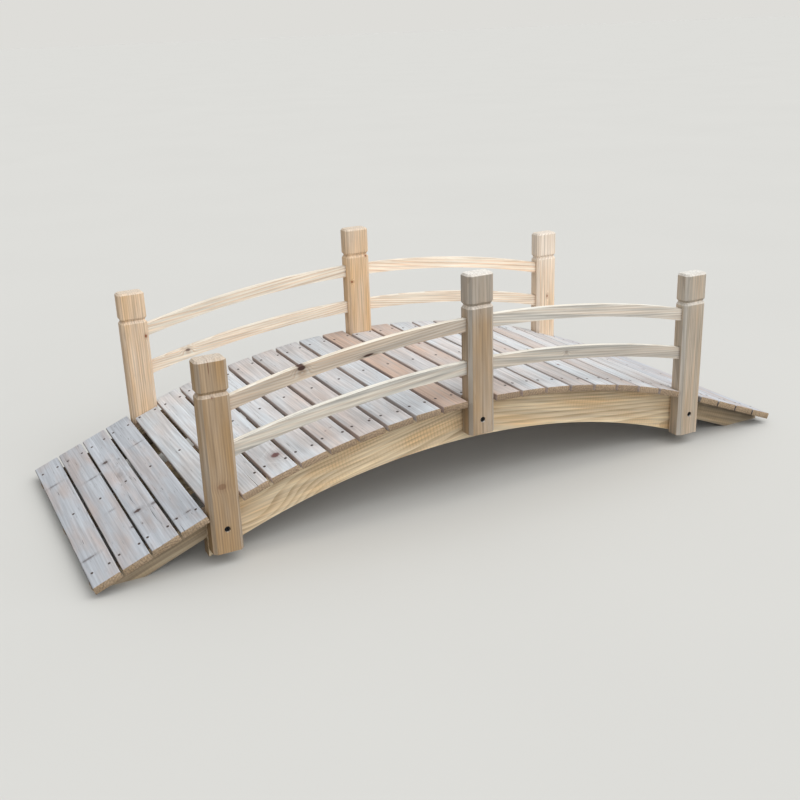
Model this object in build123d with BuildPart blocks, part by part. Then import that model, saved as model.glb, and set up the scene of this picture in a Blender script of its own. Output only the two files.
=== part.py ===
"""Moon bridge: an arched timber garden bridge with railings, for Object Factory.

Frame, in mm: +X along the bridge, -Y the near side, +Z up, origin on the ground
under the middle of the span.  Each piece is built where it stands.
"""
from build123d import *
import math
import os

os.makedirs("parts", exist_ok=True)

# Deck: flat planks laid across an arch, eight to a bay and a short one at each post.
DECK_RADIUS = 2390.0
PLANK_LENGTH = 914.0
PLANK_WIDTH = 84.0
PLANK_THICKNESS = 21.0
PLANK_ROUND = 4.0
PLANK_GAP = 10.6
PLANKS_PER_BAY = 8
SHORT_PLANK_INSET = 2.5
SHORT_PLANK_CLEARANCE = 1.0

# Ramps: straight, one at each end of the span, down to the ground.
RAMP_PLANKS = 4
RAMP_GAP = 6.0
RAMP_SLOPE_DEGREES = 21.5
RAMP_CLEARANCE = 1.5
TOE_HEIGHT = 15.0

# Stringers: three lines of beams on edge, under the deck and under each ramp.
STRINGER_THICKNESS = 38.0
STRINGER_DEPTH = 125.0
RAMP_STRINGER_DEPTH = 68.0
CLEAT_LENGTH = 200.0
CLEAT_DEPTH = 38.0
CLEAT_THICKNESS = 21.0

# Posts: chamfered, with a V groove round the neck, on the stringers' outer faces.
POST_WIDTH = 89.0
POST_DEPTH = 57.0
POST_CHAMFER = 10.0
POST_PLANK_GAP = 8.1
HEAD_BEVEL = 6.0
HEAD_BEVEL_DEGREES = 45.0
GROOVE_HEIGHT = 18.0
GROOVE_DEPTH = 6.5
GROOVE_BELOW_HEAD = 96.0
CENTRE_HEAD_ABOVE_DECK = 386.0
CENTRE_FOOT_ABOVE_EDGE = 29.0
OUTER_HEAD_ABOVE_DECK = 420.0
OUTER_FOOT_ABOVE_GROUND = 38.0

# Rails: curved bars let into the posts' sides, a top and a lower one in each bay.
RAIL_HEIGHT = 40.0
RAIL_THICKNESS = 20.0
RAIL_SPACING = 134.5
RAIL_BELOW_CENTRE_HEAD = 134.0
RAIL_BELOW_OUTER_HEAD = 127.5
HOUSING_DEPTH = 20.0
HOUSING_SEAT = 0.3
HOUSING_SIDE = 1.5

# Bolts: one through each post, its head sunk in the post's outer face.
BOLT_DIAMETER = 8.0
BOLT_HOLE_DIAMETER = 9.0
BOLT_HEAD_DIAMETER = 15.0
BOLT_HEAD_HEIGHT = 7.0
SOCKET_DIAMETER = 7.0
SOCKET_DEPTH = 4.0
COUNTERBORE_DIAMETER = 18.0
COUNTERBORE_DEPTH = 10.0
NUT_DIAMETER = 15.0
NUT_HEIGHT = 6.5
BOLT_TAIL = 3.0
CENTRE_BOLT_BELOW_TOP = 50.0
HEXAGON_SIDES = 6

# Across the bridge: the posts' outer faces are flush with the planks' ends.
post_outer_y = PLANK_LENGTH / 2
post_middle_y = post_outer_y - POST_DEPTH / 2
post_inner_y = post_outer_y - POST_DEPTH
stringer_y = post_inner_y - STRINGER_THICKNESS / 2
short_plank_length = 2 * (post_inner_y - SHORT_PLANK_CLEARANCE)
short_plank_width = POST_WIDTH - 2 * SHORT_PLANK_INSET

# Along the deck, measured round its top: the planks' places and the outer posts.
plank_step = PLANK_WIDTH + PLANK_GAP
post_step = POST_WIDTH / 2 + POST_PLANK_GAP + PLANK_WIDTH / 2
bay_arc = 2 * post_step + (PLANKS_PER_BAY - 1) * plank_step
post_arcs = (-bay_arc, 0.0, bay_arc)
bay_plank_arcs = [post_step + place * plank_step for place in range(PLANKS_PER_BAY)]
post_x = DECK_RADIUS * math.sin(bay_arc / DECK_RADIUS)
span_half = post_x + POST_WIDTH / 2

# Heights: the ramps climb from the ground, and the arch springs from their tops.
slope = math.radians(RAMP_SLOPE_DEGREES)
ramp_length = RAMP_PLANKS * PLANK_WIDTH + (RAMP_PLANKS - 1) * RAMP_GAP
ramp_start_x = span_half + RAMP_CLEARANCE
ramp_toe_x = ramp_start_x + ramp_length * math.cos(slope)
ramp_top_z = TOE_HEIGHT + (ramp_toe_x - span_half) * math.tan(slope)
stringer_top_radius = DECK_RADIUS - PLANK_THICKNESS
stringer_low_radius = stringer_top_radius - STRINGER_DEPTH
deck_centre_z = ramp_top_z - math.sqrt(stringer_top_radius ** 2 - span_half ** 2)


def arc_height(centre_z, radius, x):
    """Height at x of a circle standing in the XZ plane, centred on the Z axis."""
    return centre_z + math.sqrt(radius ** 2 - x ** 2)


def ramp_height(x, below=0.0):
    """Height at x of the ramp stringers' top edge, or of a line parallel to it below."""
    return ramp_top_z - (x - span_half) * math.tan(slope) - below / math.cos(slope)


centre_head_z = arc_height(deck_centre_z, DECK_RADIUS, 0) + CENTRE_HEAD_ABOVE_DECK
centre_foot_z = arc_height(deck_centre_z, stringer_low_radius, 0) + CENTRE_FOOT_ABOVE_EDGE
centre_bolt_z = arc_height(deck_centre_z, stringer_top_radius, 0) - CENTRE_BOLT_BELOW_TOP
outer_head_z = arc_height(deck_centre_z, DECK_RADIUS, post_x) + OUTER_HEAD_ABOVE_DECK
outer_bolt_z = ramp_height(post_x, RAMP_STRINGER_DEPTH - CLEAT_DEPTH / 2)
rail_crown_z = centre_head_z - RAIL_BELOW_CENTRE_HEAD
rail_fall = rail_crown_z - (outer_head_z - RAIL_BELOW_OUTER_HEAD)
rail_radius = (post_x ** 2 + rail_fall ** 2) / (2 * rail_fall)
rail_inset = POST_WIDTH / 2 - HOUSING_DEPTH
lap_half = POST_WIDTH / 2

ENDS = ((-1, "left"), (1, "right"))
ROWS = ((-1, "near"), (1, "far"))
STRINGER_LINES = (("near", -stringer_y), ("middle", 0.0), ("far", stringer_y))
BAYS = (("left", -post_x, 0.0), ("right", 0.0, post_x))
RAILS = (("top", rail_crown_z - rail_radius), ("lower", rail_crown_z - RAIL_SPACING - rail_radius))
POSTS = (
    ("left", -post_x, OUTER_FOOT_ABOVE_GROUND, outer_head_z, outer_bolt_z),
    ("centre", 0.0, centre_foot_z, centre_head_z, centre_bolt_z),
    ("right", post_x, OUTER_FOOT_ABOVE_GROUND, outer_head_z, outer_bolt_z),
)


def arch_profile(y, centre_z, top_radius, low_radius, x_from, x_to):
    """Face at y between two concentric arcs, with upright ends; it extrudes towards -Y."""
    x_middle = (x_from + x_to) / 2
    with BuildSketch(Plane.XZ.offset(-y)) as profile:
        with BuildLine():
            top = ThreePointArc(
                (x_from, arc_height(centre_z, top_radius, x_from)),
                (x_middle, arc_height(centre_z, top_radius, x_middle)),
                (x_to, arc_height(centre_z, top_radius, x_to)),
            )
            low = ThreePointArc(
                (x_from, arc_height(centre_z, low_radius, x_from)),
                (x_middle, arc_height(centre_z, low_radius, x_middle)),
                (x_to, arc_height(centre_z, low_radius, x_to)),
            )
            Line(top @ 0, low @ 0)
            Line(top @ 1, low @ 1)
        make_face()
    return profile.sketch


def straight_profile(y, corners):
    """Face at y with straight sides; it extrudes towards -Y."""
    with BuildSketch(Plane.XZ.offset(-y)) as profile:
        with BuildLine():
            Polyline(*corners, close=True)
        make_face()
    return profile.sketch


def plank_profile(x, z, turn, width, length):
    """Section of a plank lying on a point and turned with the deck; it extrudes towards -Y."""
    end = Plane(
        origin=(x, length / 2, z),
        x_dir=(math.cos(turn), 0, -math.sin(turn)),
        z_dir=(0, -1, 0),
    )
    with BuildSketch(end) as profile:
        Rectangle(width, PLANK_THICKNESS, align=(Align.CENTER, Align.MIN))
        fillet(profile.vertices().group_by(Axis.Y)[-1], PLANK_ROUND)
    return profile.sketch


def post_section(x, y, z):
    """A post's section with its corners taken off, on a level plane at z."""
    with BuildSketch(Plane.XY.offset(z)) as section:
        with Locations((x, y)):
            Rectangle(POST_WIDTH, POST_DEPTH)
        chamfer(section.vertices(), POST_CHAMFER)
    return section.sketch


def outward_plane(x, y, z):
    """Upright plane at a point, facing out from the middle line of the bridge."""
    return Plane(origin=(x, y, z), x_dir=(1, 0, 0), z_dir=(0, math.copysign(1, y), 0))


def save(built, name):
    """Label one finished piece and write its file."""
    built.part.label = name
    export_step(built.part, f"parts/{name}.step")


# Deck planks, numbered from the left; those at the posts fit between them.
deck_arcs = sorted([*post_arcs, *bay_plank_arcs, *(-arc for arc in bay_plank_arcs)])
for number, arc in enumerate(deck_arcs, start=1):
    turn = arc / DECK_RADIUS
    seat_x = stringer_top_radius * math.sin(turn)
    seat_z = deck_centre_z + stringer_top_radius * math.cos(turn)
    width = short_plank_width if arc in post_arcs else PLANK_WIDTH
    length = short_plank_length if arc in post_arcs else PLANK_LENGTH
    with BuildPart() as plank:
        extrude(plank_profile(seat_x, seat_z, turn, width, length), amount=length)
    save(plank, f"deck_plank_{number:02d}")

# Ramp planks.
for side, end in ENDS:
    with BuildPart() as ramp_planks:
        for place in range(RAMP_PLANKS):
            along = PLANK_WIDTH / 2 + place * (PLANK_WIDTH + RAMP_GAP)
            seat_x = ramp_start_x + along * math.cos(slope)
            seat_z = ramp_height(seat_x)
            board = plank_profile(side * seat_x, seat_z, side * slope, PLANK_WIDTH, PLANK_LENGTH)
            extrude(board, amount=PLANK_LENGTH)
    save(ramp_planks, f"ramp_planks_{end}")

# Stringers of the span: two halves to a line, half lapped behind the centre post.
for line, middle_y in STRINGER_LINES:
    back_y = middle_y + STRINGER_THICKNESS / 2
    for side, end in ENDS:
        with BuildPart() as stringer:
            for half_y, reach in ((middle_y, lap_half), (back_y, -lap_half)):
                half = arch_profile(
                    half_y,
                    deck_centre_z,
                    stringer_top_radius,
                    stringer_low_radius,
                    side * span_half,
                    reach,
                )
                extrude(half, amount=STRINGER_THICKNESS / 2)
            if line != "middle":
                face_y = math.copysign(post_inner_y, middle_y)
                bolt_places = (
                    outward_plane(0, face_y, centre_bolt_z),
                    outward_plane(side * post_x, face_y, outer_bolt_z),
                )
                with Locations(*bolt_places):
                    Hole(BOLT_HOLE_DIAMETER / 2, depth=STRINGER_THICKNESS)
        save(stringer, f"stringer_{line}_{end}")

# Stringers of the ramps: straight, cut level where they stand on the ground.
foot_x = span_half + ramp_height(span_half, RAMP_STRINGER_DEPTH) / math.tan(slope)
for side, end in ENDS:
    corners = (
        (side * span_half, ramp_height(span_half)),
        (side * ramp_toe_x, ramp_height(ramp_toe_x)),
        (side * ramp_toe_x, 0),
        (side * foot_x, 0),
        (side * span_half, ramp_height(span_half, RAMP_STRINGER_DEPTH)),
    )
    with BuildPart() as ramp_stringers:
        for line, middle_y in STRINGER_LINES:
            beam = straight_profile(middle_y + STRINGER_THICKNESS / 2, corners)
            extrude(beam, amount=STRINGER_THICKNESS)
    save(ramp_stringers, f"ramp_stringers_{end}")

# Cleats: short boards on the stringers' inner faces that tie the ramps to the span.
cleat_in = span_half - CLEAT_LENGTH / 2 * math.cos(slope)
cleat_out = span_half + CLEAT_LENGTH / 2 * math.cos(slope)
cleat_top = RAMP_STRINGER_DEPTH - CLEAT_DEPTH
with BuildPart() as cleats:
    for side, end in ENDS:
        corners = (
            (side * cleat_in, ramp_height(cleat_in, cleat_top)),
            (side * cleat_out, ramp_height(cleat_out, cleat_top)),
            (side * cleat_out, ramp_height(cleat_out, RAMP_STRINGER_DEPTH)),
            (side * cleat_in, ramp_height(cleat_in, RAMP_STRINGER_DEPTH)),
        )
        for line, middle_y in STRINGER_LINES:
            inward = -1 if line == "far" else 1
            seat_y = middle_y + inward * STRINGER_THICKNESS / 2
            back_y = max(seat_y, seat_y + inward * CLEAT_THICKNESS)
            extrude(straight_profile(back_y, corners), amount=CLEAT_THICKNESS)
            if line != "middle":
                with Locations(outward_plane(side * post_x, seat_y, outer_bolt_z)):
                    Hole(BOLT_HOLE_DIAMETER / 2, depth=CLEAT_THICKNESS)
save(cleats, "ramp_cleats")

# Posts, with housings for the rails and a sunk hole for the bolt.
groove_taper = math.degrees(math.atan(GROOVE_DEPTH / (GROOVE_HEIGHT / 2)))
for out, row in ROWS:
    middle_y = out * post_middle_y
    for place, x, foot_z, head_z, bolt_z in POSTS:
        groove_z = head_z - GROOVE_BELOW_HEAD
        groove_low_z = groove_z - GROOVE_HEIGHT / 2
        groove_high_z = groove_z + GROOVE_HEIGHT / 2
        bevel_z = head_z - HEAD_BEVEL
        with BuildPart() as post:
            extrude(post_section(x, middle_y, foot_z), amount=groove_low_z - foot_z)
            extrude(post_section(x, middle_y, groove_low_z), amount=GROOVE_HEIGHT / 2, taper=groove_taper)
            extrude(post_section(x, middle_y, groove_high_z), amount=-GROOVE_HEIGHT / 2, taper=groove_taper)
            extrude(post_section(x, middle_y, groove_high_z), amount=bevel_z - groove_high_z)
            extrude(post_section(x, middle_y, bevel_z), amount=HEAD_BEVEL, taper=HEAD_BEVEL_DEGREES)
            for bay, bay_start, bay_end in BAYS:
                if x not in (bay_start, bay_end):
                    continue
                for rail_name, centre_z in RAILS:
                    housing = arch_profile(
                        middle_y + RAIL_THICKNESS / 2 + HOUSING_SIDE,
                        centre_z,
                        rail_radius + HOUSING_SIDE,
                        rail_radius - RAIL_HEIGHT - HOUSING_SEAT,
                        bay_start + rail_inset - HOUSING_SIDE,
                        bay_end - rail_inset + HOUSING_SIDE,
                    )
                    extrude(housing, amount=RAIL_THICKNESS + 2 * HOUSING_SIDE, mode=Mode.SUBTRACT)
            with Locations(outward_plane(x, out * post_outer_y, bolt_z)):
                CounterBoreHole(
                    BOLT_HOLE_DIAMETER / 2,
                    COUNTERBORE_DIAMETER / 2,
                    COUNTERBORE_DEPTH,
                    depth=POST_DEPTH,
                )
        save(post, f"post_{row}_{place}")

# Rails, a top and a lower one in each bay of each side.
for out, row in ROWS:
    back_y = out * post_middle_y + RAIL_THICKNESS / 2
    for bay, bay_start, bay_end in BAYS:
        for rail_name, centre_z in RAILS:
            bar = arch_profile(
                back_y,
                centre_z,
                rail_radius,
                rail_radius - RAIL_HEIGHT,
                bay_start + rail_inset,
                bay_end - rail_inset,
            )
            with BuildPart() as rail:
                extrude(bar, amount=RAIL_THICKNESS)
            save(rail, f"{rail_name}_rail_{row}_{bay}")

# Bolts: a socket head sunk in the post, and a nut behind the stringer or the cleat.
with BuildPart() as bolts:
    for out, row in ROWS:
        for place, x, foot_z, head_z, bolt_z in POSTS:
            grip = POST_DEPTH - COUNTERBORE_DEPTH + STRINGER_THICKNESS
            if place != "centre":
                grip += CLEAT_THICKNESS
            seat = outward_plane(x, out * (post_outer_y - COUNTERBORE_DEPTH), bolt_z)
            with BuildSketch(seat):
                Circle(BOLT_HEAD_DIAMETER / 2)
            extrude(amount=BOLT_HEAD_HEIGHT)
            with BuildSketch(seat.offset(BOLT_HEAD_HEIGHT)):
                RegularPolygon(SOCKET_DIAMETER / 2, HEXAGON_SIDES)
            extrude(amount=-SOCKET_DEPTH, mode=Mode.SUBTRACT)
            with BuildSketch(seat):
                Circle(BOLT_DIAMETER / 2)
            extrude(amount=-(grip + NUT_HEIGHT + BOLT_TAIL))
            with BuildSketch(seat.offset(-grip)):
                RegularPolygon(NUT_DIAMETER / 2, HEXAGON_SIDES)
            extrude(amount=-NUT_HEIGHT)
save(bolts, "post_bolts")
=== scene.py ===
"""Moon bridge: the finish of an arched timber garden bridge, laid out as a Blender add-on.

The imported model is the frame. Everything here is in metres and in its axes: +X along
the bridge, -Y the near side, +Z up, with the origin on the ground under mid-span.
"""

import math
import random
from collections import namedtuple

import bmesh
import bpy
from bpy.props import FloatProperty, FloatVectorProperty, IntProperty, PointerProperty
from mathutils import Matrix, Vector, noise


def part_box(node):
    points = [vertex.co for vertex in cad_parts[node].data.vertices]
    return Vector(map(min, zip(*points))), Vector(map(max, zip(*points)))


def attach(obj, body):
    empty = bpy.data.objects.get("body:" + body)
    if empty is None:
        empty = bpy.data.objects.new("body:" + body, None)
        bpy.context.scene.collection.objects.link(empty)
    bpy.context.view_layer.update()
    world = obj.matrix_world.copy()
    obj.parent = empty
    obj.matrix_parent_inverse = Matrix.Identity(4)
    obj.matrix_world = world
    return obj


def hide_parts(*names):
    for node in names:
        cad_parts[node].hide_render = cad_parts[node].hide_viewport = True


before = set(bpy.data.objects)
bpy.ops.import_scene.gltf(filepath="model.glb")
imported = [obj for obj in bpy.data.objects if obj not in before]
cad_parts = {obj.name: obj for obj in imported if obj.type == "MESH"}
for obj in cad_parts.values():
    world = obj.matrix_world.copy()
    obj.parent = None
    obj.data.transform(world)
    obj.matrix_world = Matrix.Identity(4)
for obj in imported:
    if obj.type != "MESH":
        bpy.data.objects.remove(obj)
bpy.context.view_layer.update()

bl_info = {
    "name": "Moon Bridge Finish",
    "version": (1, 0, 0),
    "blender": (4, 5, 0),
    "location": "View3D > Sidebar > Moon Bridge",
    "description": "Dresses a packed timber garden bridge with boards, nails, finishes and a studio",
    "category": "Object",
}

MM = 0.001
BODY = "root"
ENDS = ("left", "right")
STRINGER_LINES = ("near", "middle", "far")
ALONG_DECK = Vector((1, 0, 0))
ACROSS_DECK = Vector((0, 1, 0))
UPRIGHT = Vector((0, 0, 1))
WELD = 0.001 * MM

COORDS = "ShaderNodeTexCoord"
MAPPING = "ShaderNodeMapping"
GEOMETRY = "ShaderNodeNewGeometry"
NOISE = "ShaderNodeTexNoise"
WAVE = "ShaderNodeTexWave"
MATH = "ShaderNodeMath"
VECTOR = "ShaderNodeVectorMath"
RANGE = "ShaderNodeMapRange"
MIX = "ShaderNodeMix"
BUMP = "ShaderNodeBump"
COMBINE = "ShaderNodeCombineXYZ"
LIGHT_PATH = "ShaderNodeLightPath"
PRINCIPLED = "ShaderNodeBsdfPrincipled"
BACKGROUND = "ShaderNodeBackground"
MIX_SHADER = "ShaderNodeMixShader"
OUTPUT = "ShaderNodeOutputMaterial"
WORLD_OUTPUT = "ShaderNodeOutputWorld"

# Sockets of a mix, which shares its socket names among its kinds.
MIX_SHARE = 0
NUMBER_FIRST, NUMBER_SECOND = 2, 3
COLOUR_FIRST, COLOUR_SECOND, COLOUR_OUT = 6, 7, 2


def linear(hex_colour):
    """Turn an sRGB hex colour into the linear RGB that Blender works in."""
    channels = [int(hex_colour[place:place + 2], 16) / 255 for place in (0, 2, 4)]
    return tuple(c / 12.92 if c <= 0.04045 else ((c + 0.055) / 1.055) ** 2.4 for c in channels)


def colour(name, description, hex_colour):
    """A colour that a user may change."""
    default = linear(hex_colour)
    return FloatVectorProperty(
        name=name, description=description, subtype="COLOR", size=3, min=0, max=1, default=default
    )


def length(name, description, metres):
    """A length that a user may change."""
    return FloatProperty(
        name=name,
        description=description,
        subtype="DISTANCE",
        unit="LENGTH",
        min=0,
        precision=4,
        default=metres,
    )


def share(name, description, value, most=1.0):
    """A share, or another plain factor, that a user may change."""
    return FloatProperty(
        name=name, description=description, subtype="FACTOR", min=0, max=most, default=value
    )


def angle(name, description, radians):
    """An angle that a user may change."""
    return FloatProperty(name=name, description=description, subtype="ANGLE", default=radians)


# The names and descriptions of what a timber's finish is made of.
TIMBER_COLOURS = {
    "light": ("Earlywood", "Pale part of a growth ring on the sides"),
    "dark": ("Latewood", "Dark part of a growth ring on the sides"),
    "blush": ("Blush", "Warmer wood that the sides drift towards"),
    "sun_light": ("Upper earlywood", "Pale part of a growth ring on an upper face"),
    "sun_dark": ("Upper latewood", "Dark part of a growth ring on an upper face"),
    "sun_blush": ("Upper blush", "Warmer wood that an upper face drifts towards"),
    "weather": ("Weathering", "Grey streaks along the grain"),
    "end": ("End grain", "Pale part of the sawn ends"),
    "end_dark": ("End grain rings", "Dark part of the sawn ends"),
    "knot": ("Knot", "Heart of a knot"),
}
TIMBER_SHARES = {
    "contrast": ("Ring contrast", "How strongly the growth rings show"),
    "blotch": ("Blotches", "How far the wood drifts to its warmer colour in places"),
    # Worn edges are partly wear and partly a painted highlight along the arrises.
    "worn": ("Worn edges", "How bleached the bevelled edges are"),
    "fibre": ("Fibres", "How strongly light and dark fibres show"),
    "checks": ("Checks", "How dark the fine drying cracks are"),
    "roughness": ("Roughness", "How matt the wood is"),
}


def timber_finish(ring_width, **defaults):
    """The properties of a timber's finish, with that timber's own colours and shares as defaults."""
    properties = {key: colour(*words, defaults[key]) for key, words in TIMBER_COLOURS.items()}
    for key, words in TIMBER_SHARES.items():
        properties[key] = share(*words, defaults[key])
    properties["ring_width"] = length("Ring width", "Spacing of the growth rings", ring_width)
    return properties


class DeckFinish(bpy.types.PropertyGroup):
    """Fir planks of the deck, silvered on top and stained a greyish brown in the gaps."""

    __annotations__ = timber_finish(
        light="C2B3A9", dark="9A8A82", blush="BAA49A",
        sun_light="CFD3D6", sun_dark="ADABA9", sun_blush="D0B6A4",
        weather="B2B4B6", end="AA9070", end_dark="6E573F", knot="6A4340",
        ring_width=8 * MM, contrast=0.36, blotch=0.36, worn=0.2, fibre=0.3, checks=0.5, roughness=0.82,
    )


class RampFinish(bpy.types.PropertyGroup):
    """Fir planks of the ramps, the greyest of the bridge, with sides painted dark brown as painted shade
    in the gaps.
    """

    __annotations__ = timber_finish(
        # Painted shade: the side colours are dark so that the gaps between the planks look dark.
        light="5F554B", dark="463C33", blush="5D4F44",
        sun_light="BFC3C8", sun_dark="9C9A9C", sun_blush="BDAFA8",
        weather="A2A5A9", end="B59C7D", end_dark="806A54", knot="4C3A36",
        ring_width=8 * MM, contrast=0.24, blotch=0.9, worn=0.2, fibre=0.26, checks=0.65, roughness=0.85,
    )


class PostFinish(bpy.types.PropertyGroup):
    """Planed fir posts, tan to pinkish, with a faint sheen, greyer and darker on the near side, partly as
    painted shade.
    """

    __annotations__ = timber_finish(
        light="DBC7B0", dark="A8845E", blush="DAB27F",
        sun_light="E6E5E0", sun_dark="CFC6B8", sun_blush="E2DBD0",
        weather="B5AC9D", end="D9CDBD", end_dark="B39C80", knot="884E2C",
        ring_width=7 * MM, contrast=0.46, blotch=0.5, worn=0.5, fibre=0.36, checks=0.3, roughness=0.68,
    )


class RailFinish(bpy.types.PropertyGroup):
    """Planed fir rails, the palest wood of the bridge, with a faint sheen."""

    __annotations__ = timber_finish(
        light="F8EDDA", dark="E0B48A", blush="F6DCC1",
        sun_light="F1EEE3", sun_dark="E0D5C0", sun_blush="EFE5D2",
        weather="CCC8BF", end="D6BE9C", end_dark="A98A62", knot="4E2F22",
        ring_width=8 * MM, contrast=0.6, blotch=0.5, worn=0.3, fibre=0.36, checks=0.2, roughness=0.64,
    )


class StringerFinish(bpy.types.PropertyGroup):
    """Sawn fir beams under the deck, golden on their sides and dark brown on top, below the gaps."""

    __annotations__ = timber_finish(
        light="E4D1B0", dark="B8966A", blush="DFB984",
        sun_light="84715C", sun_dark="68543F", sun_blush="7C664D",
        weather="B9A58A", end="B09370", end_dark="80643F", knot="7A4A2C",
        ring_width=8 * MM, contrast=0.6, blotch=0.8, worn=0.1, fibre=0.3, checks=0.2, roughness=0.78,
    )


class SteelFinish(bpy.types.PropertyGroup):
    """Dark steel of the bolts and the nails, and the stain that it leaves."""

    bolt: colour("Bolt", "Black oxide on the bolts", "1C1C1E")
    bolt_worn: colour("Bolt, rubbed", "Where the black has rubbed thin", "3A3A3C")
    nail: colour("Nail", "Blued nail heads", "3E3A39")
    nail_rust: colour("Nail rust", "First rust on the nail heads", "50382C")
    bruise: colour("Bruised wood", "Stained wood round a nail head", "7A716E")


class BoardShape(bpy.types.PropertyGroup):
    """Shape of the worn planks, apart from the sizes that the frame gives."""

    edge_round: length("Edge rounding", "Radius of a plank's upper edges", 4 * MM)
    end_bevel: length("End bevel", "Worn corner round a sawn end", 0.8 * MM)
    bow: length("Bow", "Most that a plank bends sideways", 0.7 * MM)
    split_width: length("Split width", "Width of a drying split at its mouth", 1.8 * MM)
    split_depth: length("Split depth", "Depth of a drying split at its mouth", 5 * MM)


class NailShape(bpy.types.PropertyGroup):
    """The nails that hold the planks to the stringers."""

    head: length("Head diameter", "Width of a nail head", 6.6 * MM)
    crown: length("Head crown", "Height of a nail head above the wood", 0.7 * MM)
    bruise: length("Bruise diameter", "Width of the stained ring round a head", 10 * MM)
    bruise_stretch: share("Bruise stretch", "How many times longer than wide a bruise is", 1.35, most=3.0)
    spread: length("Half spacing", "From the middle of a plank to each nail of a pair", 28 * MM)
    scatter: length("Scatter", "Most that a nail strays along its plank, and half that across", 8 * MM)


class Studio(bpy.types.PropertyGroup):
    """Camera, lamps and floor."""

    camera_place: FloatVectorProperty(
        name="Camera place",
        description="Where the camera stands",
        subtype="TRANSLATION",
        unit="LENGTH",
        default=(-1.5706, -3.0191, 1.4302),
    )
    yaw: angle("Yaw", "Camera heading, from +Y towards +X", 0.4659)
    pitch: angle("Pitch", "How far the camera looks down", 0.3498)
    roll: angle("Roll", "Turn about the line of sight", -0.0365)
    lens: FloatProperty(name="Lens", description="Focal length", unit="CAMERA", min=1, default=47.11)
    floor: colour("Floor", "Matt paper floor, as it is seen", "CFCEC9")
    floor_bounce: colour("Floor bounce", "The light that the floor sends back to the bridge", "82827E")
    floor_size: length("Floor size", "Length of each side of the floor", 200.0)
    backdrop: colour("Backdrop", "What the camera sees past the floor", "DEDDD9")
    sky_colour: colour("Sky colour", "Colour of the soft light", "F7F8FA")
    sky: share("Sky strength", "Soft light from all round", 0.93, most=5.0)
    slant: share("Slant", "How much brighter the soft light is on its bright side", 0.85)
    key: share("Key strength", "Light of the large lamp, in watts to the square metre", 0.6, most=20.0)
    key_spread: angle("Key spread", "How wide the large lamp looks", math.radians(50))


class BridgeSettings(bpy.types.PropertyGroup):
    """Everything that a user may change."""

    deck: PointerProperty(type=DeckFinish, name="Deck planks")
    ramp: PointerProperty(type=RampFinish, name="Ramp planks")
    post: PointerProperty(type=PostFinish, name="Posts")
    rail: PointerProperty(type=RailFinish, name="Rails")
    stringer: PointerProperty(type=StringerFinish, name="Stringers")
    steel: PointerProperty(type=SteelFinish, name="Steel")
    board: PointerProperty(type=BoardShape, name="Plank shape")
    nail: PointerProperty(type=NailShape, name="Nails")
    studio: PointerProperty(type=Studio, name="Studio")
    seed: IntProperty(name="Seed", description="Start of every random draw", default=41)


# What is added to the seed for each group of timbers, so that no two timbers share their draws.
RAMP_SEEDS = {"left": 100, "right": 110}
STRINGER_SEED = 200
POST_SEED = 300
RAIL_SEED = 400

# A timber as the frame has it: its middle, its axes and its size along each of them.
Board = namedtuple("Board", "middle across along up size")

# How one timber differs from the next: the way its rings show, its lightness, how far it drifts to
# the warm colour, how grey it has weathered, how bleached its upper faces are, how light its upper
# faces are, which is partly bleaching and partly painted light from above, its knots, how pale its
# head is and how deep the saw marks are.
Look = namedtuple(
    "Look",
    "figure tone warm weather bleach top knots head saw",
    defaults=(0.2, 0.2, 1.0, None, (), 0.0, 0.0),
)

# A knot or a fine crack on a timber: its place across and along from the middle and its half width,
# in millimetres, how many times longer than wide it is, how far it pushes the rings aside as a share
# of its half width, and how dark it is. One that lies across the grain is a branch sawn lengthways,
# and one with no darkness only bends the rings.
Knot = namedtuple("Knot", "across along radius stretch swell dark", defaults=(1.6, 2.0, 1.0))

# A split in a plank, in millimetres: its place across, where along it is widest, and its reach.
Split = namedtuple("Split", "across along reach")


def measure(points, across, along):
    """Measure a timber along its own axes."""
    axes = (across, along, across.cross(along))
    lows = [min(point.dot(axis) for point in points) for axis in axes]
    highs = [max(point.dot(axis) for point in points) for axis in axes]
    middle = Vector()
    for axis, low, high in zip(axes, lows, highs):
        middle += axis * (low + high) / 2
    size = Vector(high - low for low, high in zip(lows, highs))
    return Board(middle, *axes, size)


def points_of(node):
    """The corner points of a node of the frame."""
    return [vert.co.copy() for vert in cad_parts[node].data.vertices]


def solids(node):
    """List the separate solids of a node, each as its points and its broadest face's upward normal."""
    mesh = bmesh.new()
    mesh.from_mesh(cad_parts[node].data)
    bmesh.ops.remove_doubles(mesh, verts=mesh.verts, dist=WELD)
    mesh.normal_update()
    seen = set()
    found = []
    for start in mesh.verts:
        if start in seen:
            continue
        seen.add(start)
        island = [start]
        for vert in island:
            for edge in vert.link_edges:
                other = edge.other_vert(vert)
                if other not in seen:
                    seen.add(other)
                    island.append(other)
        faces = {face for vert in island for face in vert.link_faces}
        normal = max(faces, key=lambda face: face.calc_area()).normal.copy()
        found.append(([vert.co.copy() for vert in island], normal if normal.z > 0 else -normal))
    mesh.free()
    return found


def planks_of(node):
    """Measure each plank of a node, from left to right."""
    boards = [measure(points, ACROSS_DECK.cross(up), ACROSS_DECK) for points, up in solids(node)]
    return sorted(boards, key=lambda board: board.middle.x)


def beam_of(node):
    """Measure a curved rail or stringer, with its length along the chord of its upper edge."""
    points = points_of(node)
    low_x = min(point.x for point in points)
    high_x = max(point.x for point in points)
    first = max((point for point in points if point.x < low_x + WELD), key=lambda point: point.z)
    last = max((point for point in points if point.x > high_x - WELD), key=lambda point: point.z)
    along = Vector((last.x - first.x, 0, last.z - first.z)).normalized()
    return measure(points, ACROSS_DECK.cross(along), along)


def post_of(node):
    """Measure a post, with its length upright."""
    return measure(points_of(node), ALONG_DECK, UPRIGHT)


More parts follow.
